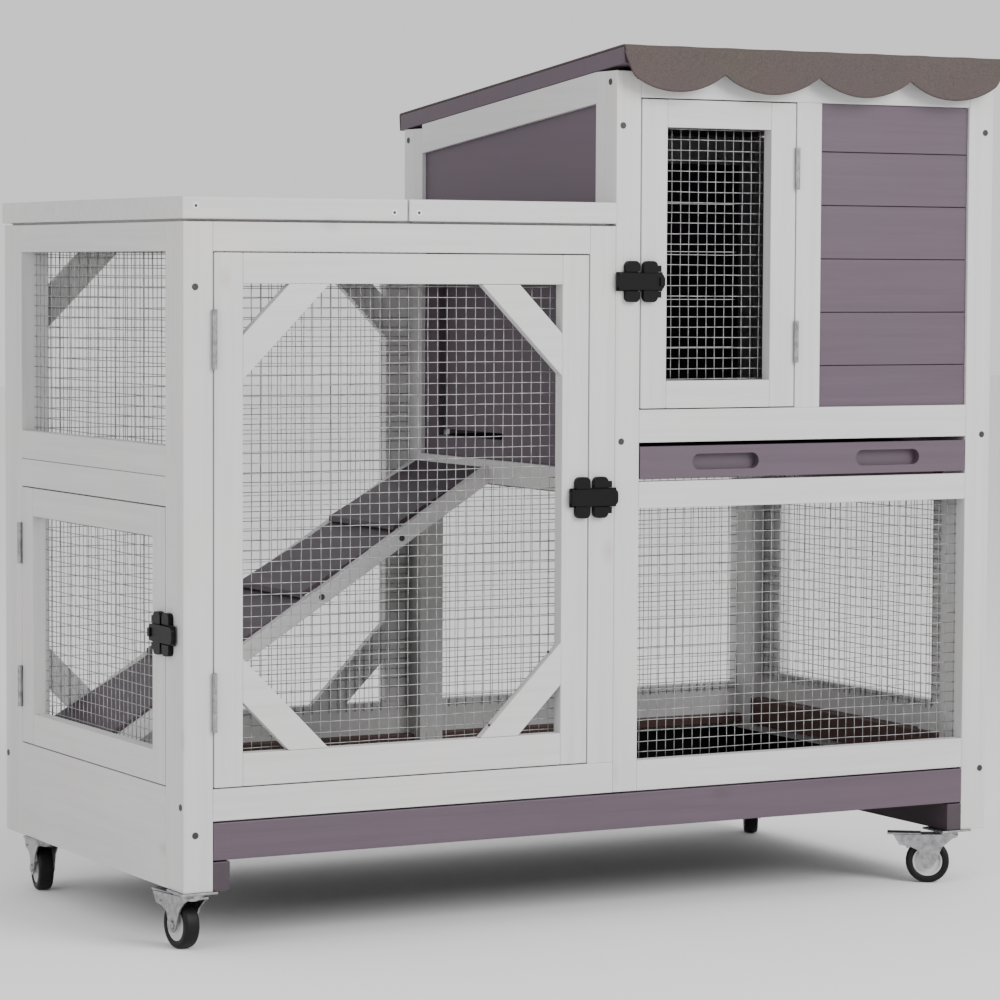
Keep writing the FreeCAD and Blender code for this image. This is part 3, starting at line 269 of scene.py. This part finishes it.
def join_blocks(blocks):
    """Runs several point-and-face blocks into one pair of arrays."""
    points = np.concatenate([block[0] for block in blocks])
    faces, offset = [], 0
    for block in blocks:
        faces += [part + offset for part in block[1]]
        offset += len(block[0])
    return points, faces


galvanised = bpy.data.materials.new("galvanised wire")
galvanised.use_nodes = True
tree = galvanised.node_tree
shader = tree.nodes["Principled BSDF"]
shader.inputs["Metallic"].default_value = 0.75
where = tree.nodes.new("ShaderNodeTexCoord")
spangle = tree.nodes.new("ShaderNodeTexNoise")
spangle.inputs["Scale"].default_value = 90.0
spangle.inputs["Detail"].default_value = 4.0
node_link(tree, where, "Object", spangle, "Vector")
zinc_tone = tree.nodes.new("ShaderNodeValToRGB")
zinc_tone.color_ramp.elements[0].position = 0.35
zinc_tone.color_ramp.elements[0].color = (0.200, 0.200, 0.205, 1)
zinc_tone.color_ramp.elements[1].position = 0.68
zinc_tone.color_ramp.elements[1].color = (0.420, 0.420, 0.425, 1)
node_link(tree, spangle, "Fac", zinc_tone, "Fac")
node_link(tree, zinc_tone, "Color", shader, "Base Color")
dull = tree.nodes.new("ShaderNodeMapRange")
dull.inputs["To Min"].default_value = 0.38
dull.inputs["To Max"].default_value = 0.60
node_link(tree, spangle, "Fac", dull, "Value")
node_link(tree, dull, "Result", shader, "Roughness")

EAST = np.array([1.0, 0.0, 0.0])
NORTH = np.array([0.0, 1.0, 0.0])


def corner_point(x, y, z):
    """A point in millimetres from the frame's front left corner, in metres about the middle."""
    return np.array([(x - 575.0) / 1000, (y - 287.0) / 1000, z / 1000])


fixed_sheets = {
    "back_run_wires": ((38, 556, 201), (581, 556, 835), EAST, -NORTH),
    "back_lower_wires": ((616, 556, 201), (1112, 556, 519), EAST, -NORTH),
    "left_window_wires": ((18, 52, 584), (18, 516, 835), NORTH, EAST),
    "lower_front_wires": ((616, 18, 182), (1112, 18, 519), EAST, NORTH),
    "right_lower_wires": ((1132, 52, 221), (1132, 516, 519), NORTH, -EAST),
}
for name, (low, high, across, inward) in fixed_sheets.items():
    points, faces = join_blocks(wire_sheet(corner_point(*low), corner_point(*high), across,
                                           inward))
    wires = add_piece(name, points, faces, galvanised)
    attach(wires, "frame")
    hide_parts("fixed_mesh")

# ---- three framed doors --------------------------------------------------------------------
# Stiles and rails half-lapped into flat frames, with mesh on the inside. The tall run door has
# a brace across each corner. Pairs of small zinc butt hinges sit in the gap beside the post.
zinc = bpy.data.materials.new("zinc plate")
zinc.use_nodes = True
tree = zinc.node_tree
shader = tree.nodes["Principled BSDF"]
shader.inputs["Metallic"].default_value = 1.0
where = tree.nodes.new("ShaderNodeTexCoord")
cloud = tree.nodes.new("ShaderNodeTexNoise")
cloud.inputs["Scale"].default_value = 140.0
cloud.inputs["Detail"].default_value = 5.0
node_link(tree, where, "Object", cloud, "Vector")
plate_tone = tree.nodes.new("ShaderNodeValToRGB")
plate_tone.color_ramp.elements[0].position = 0.30
plate_tone.color_ramp.elements[0].color = (0.230, 0.230, 0.238, 1)
plate_tone.color_ramp.elements[1].position = 0.70
plate_tone.color_ramp.elements[1].color = (0.430, 0.430, 0.440, 1)
node_link(tree, cloud, "Fac", plate_tone, "Fac")
node_link(tree, plate_tone, "Color", shader, "Base Color")
polish = tree.nodes.new("ShaderNodeMapRange")
polish.inputs["To Min"].default_value = 0.22
polish.inputs["To Max"].default_value = 0.42
node_link(tree, cloud, "Fac", polish, "Value")
node_link(tree, polish, "Result", shader, "Roughness")
dents = tree.nodes.new("ShaderNodeBump")
dents.inputs["Strength"].default_value = 0.25
dents.inputs["Distance"].default_value = 0.0002
node_link(tree, cloud, "Fac", dents, "Height")
node_link(tree, dents, "Normal", shader, "Normal")

DOOR_PLANES = {"run_door": (EAST, NORTH, 0), "side_door": (NORTH, EAST, 1),
               "window_door": (EAST, NORTH, 0)}
for door, (across, inward, along) in DOOR_PLANES.items():
    finish_node(f"{door}_stiles", pale[2], EASED_EDGE)
    finish_node(f"{door}_rails", pale[along], EASED_EDGE)
    finish_node(f"{door}_hinges", zinc, 0)
    low, high = (np.array(corner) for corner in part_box(f"{door}_mesh"))
    far = high * (1 - inward) + low * inward
    points, faces = join_blocks(wire_sheet(low, far, across, inward))
    wires = add_piece(f"{door}_wires", points, faces, galvanised)
    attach(wires, door)
    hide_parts(f"{door}_mesh")
finish_node("hinge_leaves", zinc, 0)

# ---- slide latches -------------------------------------------------------------------------
# Injection-moulded black nylon: a slotted plate on the door, an open plate on the frame and a
# flat bolt that slides in the first and lies across the second.
black = bpy.data.materials.new("black nylon")
black.use_nodes = True
tree = black.node_tree
shader = tree.nodes["Principled BSDF"]
where = tree.nodes.new("ShaderNodeTexCoord")
mould = tree.nodes.new("ShaderNodeTexNoise")
mould.inputs["Scale"].default_value = 900.0
mould.inputs["Detail"].default_value = 3.0
node_link(tree, where, "Object", mould, "Vector")
soot = tree.nodes.new("ShaderNodeValToRGB")
soot.color_ramp.elements[0].color = (0.0025, 0.0025, 0.0028, 1)
soot.color_ramp.elements[1].color = (0.0060, 0.0060, 0.0065, 1)
node_link(tree, mould, "Fac", soot, "Fac")
node_link(tree, soot, "Color", shader, "Base Color")
shader.inputs["Specular IOR Level"].default_value = 0.14
satin = tree.nodes.new("ShaderNodeMapRange")
satin.inputs["To Min"].default_value = 0.30
satin.inputs["To Max"].default_value = 0.48
node_link(tree, mould, "Fac", satin, "Value")
node_link(tree, satin, "Result", shader, "Roughness")
pebble = tree.nodes.new("ShaderNodeBump")
pebble.inputs["Strength"].default_value = 0.2
pebble.inputs["Distance"].default_value = 0.0001
node_link(tree, mould, "Fac", pebble, "Height")
node_link(tree, pebble, "Normal", shader, "Normal")
for node in ("run_door_latch", "side_door_latch", "window_door_latch", "latch_keepers",
             "run_bolt", "side_bolt", "window_bolt"):
    finish_node(node, black, 0.0009)

# ---- pull-out trays ------------------------------------------------------------------------
# Mauve fronts, the upper one with two routed finger grips, screwed to thin black plastic pans.
finish_node("house_tray_front", mauve[0], 0)
finish_node("wide_tray_front", mauve[0], EASED_EDGE)
finish_node("house_tray_pan", black, 0.0004)
finish_node("wide_tray_pan", black, 0.0004)

# ---- hinged roof of the house --------------------------------------------------------------
# A mauve board lid with mineral felt glued over it. The felt turns down over the front edge
# into a soft flap cut in four scallops, and turns down flat over the back edge.
finish_node("roof_lid", mauve[0], EASED_EDGE)
finish_node("roof_hinges", zinc, 0)
EAVE_FALL = 1.055 - 0.995
BODY_DEPTH = 0.574
ROOF_SLOPE = math.atan2(EAVE_FALL, BODY_DEPTH)
FELT_THICK = 0.0023
FLAP_CUSP = 1.047
FLAP_LOBE = 1.024
LOBES = 4


def felt_profile(samples):
    """The felt's outer face across the roof, from the back edge to the front fold.

    Straight runs along the board's back, top and front are joined by quarter turns; the
    result is (sample, y and z) in metres, with the flap's own drop left to be added.
    """
    along = np.array([math.cos(ROOF_SLOPE), -math.sin(ROOF_SLOPE)])
    normal = np.array([math.sin(ROOF_SLOPE), math.cos(ROOF_SLOPE)])
    origin = np.array([-0.287, 1.0554])
    top = 0.0235
    back = 0.5911
    front_y = -0.287 - 0.0207
    front = (front_y - origin[0] - normal[0] * top) / along[0]
    round_back, round_front = 0.004, 0.007
    start = origin + along * back
    first = np.linspace(0, top - round_back, samples // 8)[:, None]
    rise = start + first * normal
    turn = np.linspace(0, np.pi / 2, samples // 8)[1:, None]
    hub = origin + along * (back - round_back) + normal * (top - round_back)
    over = hub + round_back * (np.cos(turn) * along + np.sin(turn) * normal)
    span = np.linspace(back - round_back, front + round_front, samples // 2)[1:, None]
    deck = origin + span * along + top * normal
    nose = origin + along * (front + round_front) + normal * (top - round_front)
    bend = np.linspace(0, np.pi / 2 - ROOF_SLOPE, samples // 8)[1:, None]
    fold = nose + round_front * (np.cos(bend) * normal - np.sin(bend) * along)
    return np.concatenate([rise, over, deck, fold])


def felt_sheet(columns=240, samples=64, drop_rows=16):
    """The whole felt: the profile carried along the roof, then the scalloped flap below it.

    The flap's lower edge is a row of circle arcs; it leans outwards a little with depth, and
    a slow wave along the roof keeps it from hanging dead flat.
    """
    left, right = 0.006, 0.576
    x = np.linspace(left, right, columns)
    profile = felt_profile(samples)
    lobe = (right - 0.008 - left - 0.004) / LOBES
    depth = FLAP_CUSP - FLAP_LOBE
    radius = (lobe ** 2 / 4 + depth ** 2) / (2 * depth)
    across = np.mod(x - left - 0.004, lobe) - lobe / 2
    hem = FLAP_LOBE + radius - np.sqrt(radius ** 2 - np.clip(across, -lobe / 2, lobe / 2) ** 2)
    to_end = np.minimum(x - left, right - x)
    lift = np.clip(1 - to_end / 0.014, 0, 1) ** 2
    hem = hem + (1.070 - hem) * lift
    fold_y, fold_z = profile[-1]
    fall = np.linspace(0, 1, drop_rows + 1)[1:]
    z = fold_z + (hem[:, None] - fold_z) * fall[None, :]
    sway = 0.0012 * np.sin(x * 61.0 + 0.6) + 0.0009 * np.sin(x * 23.0)
    y = fold_y - (0.0018 + sway[:, None]) * fall[None, :] ** 2
    flap = np.stack([np.broadcast_to(x[:, None], z.shape), y, z], axis=-1)
    deck = np.empty((columns, len(profile), 3))
    deck[:, :, 0] = x[:, None]
    deck[:, :, 1:] = profile[None, :, :]
    ripple = 0.00035 * np.sin(x * 88.0)[:, None] * np.sin(np.linspace(0, 9, len(profile)))
    deck[:, :, 2] += np.where(deck[:, :, 2] > 1.03, np.maximum(ripple, -0.0001), 0)
    grid = np.concatenate([deck, flap], axis=1)
    rows = grid.shape[1]
    index = np.arange(columns * rows).reshape(columns, rows)
    quads = np.stack([index[:-1, :-1], index[:-1, 1:], index[1:, 1:], index[1:, :-1]],
                     axis=-1).reshape(-1, 4)
    return grid.reshape(-1, 3), quads


felt_finish = bpy.data.materials.new("mineral felt")
felt_finish.use_nodes = True
tree = felt_finish.node_tree
shader = tree.nodes["Principled BSDF"]
where = tree.nodes.new("ShaderNodeTexCoord")
granule = tree.nodes.new("ShaderNodeTexNoise")
granule.inputs["Scale"].default_value = 650.0
granule.inputs["Detail"].default_value = 6.0
granule.inputs["Roughness"].default_value = 0.7
node_link(tree, where, "Object", granule, "Vector")
weather = tree.nodes.new("ShaderNodeTexNoise")
weather.inputs["Scale"].default_value = 9.0
weather.inputs["Detail"].default_value = 3.0
node_link(tree, where, "Object", weather, "Vector")
felt_tone = tree.nodes.new("ShaderNodeValToRGB")
felt_tone.color_ramp.elements[0].position = 0.32
felt_tone.color_ramp.elements[0].color = (0.060, 0.046, 0.043, 1)
felt_tone.color_ramp.elements[1].position = 0.66
felt_tone.color_ramp.elements[1].color = (0.102, 0.082, 0.078, 1)
node_link(tree, granule, "Fac", felt_tone, "Fac")
faded = tree.nodes.new("ShaderNodeMix")
faded.data_type = "RGBA"
faded.blend_type = "MULTIPLY"
faded.inputs["Factor"].default_value = 0.18
node_link(tree, felt_tone, "Color", faded, "A")
node_link(tree, weather, "Color", faded, "B")
node_link(tree, faded, "Result", shader, "Base Color")
shader.inputs["Roughness"].default_value = 0.85
shader.inputs["Specular IOR Level"].default_value = 0.25
grit = tree.nodes.new("ShaderNodeBump")
grit.inputs["Strength"].default_value = 0.4
grit.inputs["Distance"].default_value = 0.0004
node_link(tree, granule, "Fac", grit, "Height")
node_link(tree, grit, "Normal", shader, "Normal")

points, quads = felt_sheet()
felt = add_piece("roof_felt_sheet", points, [quads], felt_finish)
depth_wall = felt.modifiers.new("thickness", "SOLIDIFY")
depth_wall.thickness = FELT_THICK
depth_wall.offset = -1.0
depth_wall.use_quality_normals = True
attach(felt, "roof")
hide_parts("roof_felt")

# ---- swivel casters ------------------------------------------------------------------------
# Pressed zinc forks with a toe pedal, and black rubber treads on pale grey plastic hubs.
CASTERS = ("front_left", "back_left", "front_right", "back_right")


def turned(profile, centre, axle, sides):
    """A shape turned about an axle through a centre.

    profile holds (distance along the axle, radius) pairs; a point is the centre plus the
    distance along the axle plus the radius in the direction of the turn's angle.
    """
    axle = axle / np.linalg.norm(axle)
    side = np.cross(axle, [0.0, 0.0, 1.0])
    side = side / np.linalg.norm(side)
    up = np.cross(side, axle)
    turn = np.arange(sides) * 2 * np.pi / sides
    spoke = np.cos(turn)[:, None] * side + np.sin(turn)[:, None] * up
    profile = np.asarray(profile)
    points = (centre + profile[:, None, 0, None] * axle
              + profile[:, None, 1, None] * spoke[None, :, :])
    count = len(profile)
    index = np.arange(count * sides).reshape(count, sides)
    beside = np.roll(index, -1, axis=1)
    ahead = np.roll(index, -1, axis=0)
    ahead_beside = np.roll(ahead, -1, axis=1)
    quads = np.stack([index, ahead, ahead_beside, beside], axis=-1).reshape(-1, 4)
    return points.reshape(-1, 3), quads


def arc_profile(middle, radii, start, stop, steps):
    """Part of an ellipse in the (along, radius) plane, angles in degrees."""
    angle = np.radians(np.linspace(start, stop, steps))
    return np.stack([middle[0] + radii[0] * np.cos(angle),
                     middle[1] + radii[1] * np.sin(angle)], axis=-1)


rubber = bpy.data.materials.new("black rubber")
rubber.use_nodes = True
tree = rubber.node_tree
shader = tree.nodes["Principled BSDF"]
where = tree.nodes.new("ShaderNodeTexCoord")
scuff = tree.nodes.new("ShaderNodeTexNoise")
scuff.inputs["Scale"].default_value = 300.0
scuff.inputs["Detail"].default_value = 5.0
node_link(tree, where, "Object", scuff, "Vector")
rubber_tone = tree.nodes.new("ShaderNodeValToRGB")
rubber_tone.color_ramp.elements[0].color = (0.0030, 0.0030, 0.0032, 1)
rubber_tone.color_ramp.elements[1].color = (0.0090, 0.0088, 0.0088, 1)
node_link(tree, scuff, "Fac", rubber_tone, "Fac")
node_link(tree, rubber_tone, "Color", shader, "Base Color")
shader.inputs["Roughness"].default_value = 0.50
shader.inputs["Specular IOR Level"].default_value = 0.20
skin = tree.nodes.new("ShaderNodeBump")
skin.inputs["Strength"].default_value = 0.25
skin.inputs["Distance"].default_value = 0.0002
node_link(tree, scuff, "Fac", skin, "Height")
node_link(tree, skin, "Normal", shader, "Normal")

hub_plastic = bpy.data.materials.new("pale hub plastic")
hub_plastic.use_nodes = True
tree = hub_plastic.node_tree
shader = tree.nodes["Principled BSDF"]
where = tree.nodes.new("ShaderNodeTexCoord")
haze = tree.nodes.new("ShaderNodeTexNoise")
haze.inputs["Scale"].default_value = 120.0
node_link(tree, where, "Object", haze, "Vector")
hub_tone = tree.nodes.new("ShaderNodeValToRGB")
hub_tone.color_ramp.elements[0].color = (0.46, 0.46, 0.46, 1)
hub_tone.color_ramp.elements[1].color = (0.60, 0.60, 0.60, 1)
node_link(tree, haze, "Fac", hub_tone, "Fac")
node_link(tree, hub_tone, "Color", shader, "Base Color")
shader.inputs["Roughness"].default_value = 0.42

TREAD = np.concatenate([
    arc_profile((0.0060, 0.0245), (0.0038, 0.0040), 0, 90, 7),
    arc_profile((-0.0060, 0.0245), (0.0038, 0.0040), 90, 180, 7),
    [(-0.0098, 0.0205), (-0.0085, 0.0196), (0.0085, 0.0196), (0.0098, 0.0205)]])
HUB = np.array([(0.0086, 0.0195), (-0.0086, 0.0195), (-0.0086, 0.0175), (-0.0062, 0.0165),
                (-0.0062, 0.0080), (-0.0096, 0.0072), (-0.0098, 0.0032), (0.0098, 0.0032),
                (0.0096, 0.0072), (0.0062, 0.0080), (0.0062, 0.0165), (0.0086, 0.0175)])
axles = {joint["child"]: np.array(joint["axis"], dtype=float) for joint in frame["joints"]}
for corner in CASTERS:
    body = f"caster_wheel_{corner}"
    low, high = (np.array(point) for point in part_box(body))
    middle = (low + high) / 2
    for kind, profile, material in (("tread", TREAD, rubber), ("hub", HUB, hub_plastic)):
        points, quads = turned(profile, middle, axles[body], 56)
        part = add_piece(f"caster_{kind}_{corner}", points, [quads], material)
        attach(part, body)
        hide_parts(body)
    finish_node(f"caster_fork_{corner}", zinc, 0.0004)
    finish_node(f"caster_pedal_{corner}", zinc, 0.0004)
finish_node("caster_plates", zinc, 0.0004)

# ---- screw heads ---------------------------------------------------------------------------
# Dark steel heads that sit just proud of the paint. The ones driven through the run's roof
# board show a ring of bright filler round the head; two more hold a brace of the run door.
steel = bpy.data.materials.new("dark steel")
steel.use_nodes = True
tree = steel.node_tree
shader = tree.nodes["Principled BSDF"]
shader.inputs["Metallic"].default_value = 0.8
shader.inputs["Roughness"].default_value = 0.45
where = tree.nodes.new("ShaderNodeTexCoord")
smut = tree.nodes.new("ShaderNodeTexNoise")
smut.inputs["Scale"].default_value = 700.0
node_link(tree, where, "Object", smut, "Vector")
steel_tone = tree.nodes.new("ShaderNodeValToRGB")
steel_tone.color_ramp.elements[0].color = (0.020, 0.019, 0.019, 1)
steel_tone.color_ramp.elements[1].color = (0.090, 0.088, 0.086, 1)
node_link(tree, smut, "Fac", steel_tone, "Fac")
node_link(tree, steel_tone, "Color", shader, "Base Color")
finish_node("screws", steel, 0)
filler = painted_wood("bright filler", (0.78, 0.78, 0.78), 0, 0.04, 0.0)
HEAD = [(0.0, 0.0001), (0.0, 0.0017), (-0.0012, 0.0017), (-0.0012, 0.0001)]
RING = [(-0.0001, 0.0018), (-0.0001, 0.0044), (-0.0012, 0.0044), (-0.0012, 0.0018)]
FACING = np.array([0.0, -1.0, 0.0])
for number, (x, y, z, body, ringed) in enumerate((
        (15, -3.2, 876, "frame", True), (273, -3.2, 871, "frame", True),
        (306, -3.2, 871, "frame", True), (488, -0.3, 335, "run_door", False),
        (406, -0.3, 249, "run_door", False))):
    shapes = [("head", HEAD, steel)]
    if ringed:
        shapes.append(("ring", RING, filler))
    for kind, profile, material in shapes:
        points, quads = turned(profile, corner_point(x, y, z), FACING, 20)
        part = add_piece(f"small_screw_{kind}_{number}", points, [quads], material)
        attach(part, body)

# ---- studio --------------------------------------------------------------------------------
# A pale seamless floor under soft light from above, in front and the left.
bpy.ops.mesh.primitive_plane_add(size=40)
floor = bpy.context.object
floor.name = "floor"
floor_finish = bpy.data.materials.new("floor paper")
floor_finish.use_nodes = True
shader = floor_finish.node_tree.nodes["Principled BSDF"]
shader.inputs["Base Color"].default_value = (0.90, 0.90, 0.90, 1)
shader.inputs["Roughness"].default_value = 0.9
floor.data.materials.append(floor_finish)

world = bpy.data.worlds.new("studio")
bpy.context.scene.world = world
world.use_nodes = True
sky = world.node_tree.nodes["Background"]
sky.inputs["Color"].default_value = (1.0, 1.0, 1.0, 1)
sky.inputs["Strength"].default_value = 0.95


def soft_light(name, place, aim, power, side):
    """A square area light at one point, aimed at another."""
    lamp = bpy.data.lights.new(name, "AREA")
    lamp.energy = power
    lamp.size = side
    item = bpy.data.objects.new(name, lamp)
    bpy.context.collection.objects.link(item)
    item.location = place
    item.rotation_euler = (Vector(aim) - Vector(place)).to_track_quat("-Z", "Y").to_euler()


soft_light("key", (1.6, -4.2, 3.0), (0.0, 0.0, 0.5), 215, 2.6)
soft_light("fill", (-4.0, -2.0, 2.2), (0.0, 0.0, 0.5), 50, 2.6)

YAW = math.radians(28.59)
PITCH = math.radians(3.52)
ROLL = math.radians(0.27)
FOCAL_IN_FRAMES = 3.667
SENSOR = 36.0
EYE = (-2.288, -4.200, 0.798)
ahead = Vector((math.sin(YAW) * math.cos(PITCH), math.cos(YAW) * math.cos(PITCH),
                -math.sin(PITCH)))
right = Vector((math.cos(YAW), -math.sin(YAW), 0.0))
up = right.cross(ahead)
right, up = (math.cos(ROLL) * right + math.sin(ROLL) * up,
             -math.sin(ROLL) * right + math.cos(ROLL) * up)
camera_data = bpy.data.cameras.new("camera")
camera_data.sensor_width = SENSOR
camera_data.lens = FOCAL_IN_FRAMES * SENSOR
camera = bpy.data.objects.new("camera", camera_data)
bpy.context.collection.objects.link(camera)
turning = Matrix((right, up, -ahead)).transposed().to_4x4()
camera.matrix_world = Matrix.Translation(EYE) @ turning
bpy.context.scene.camera = camera
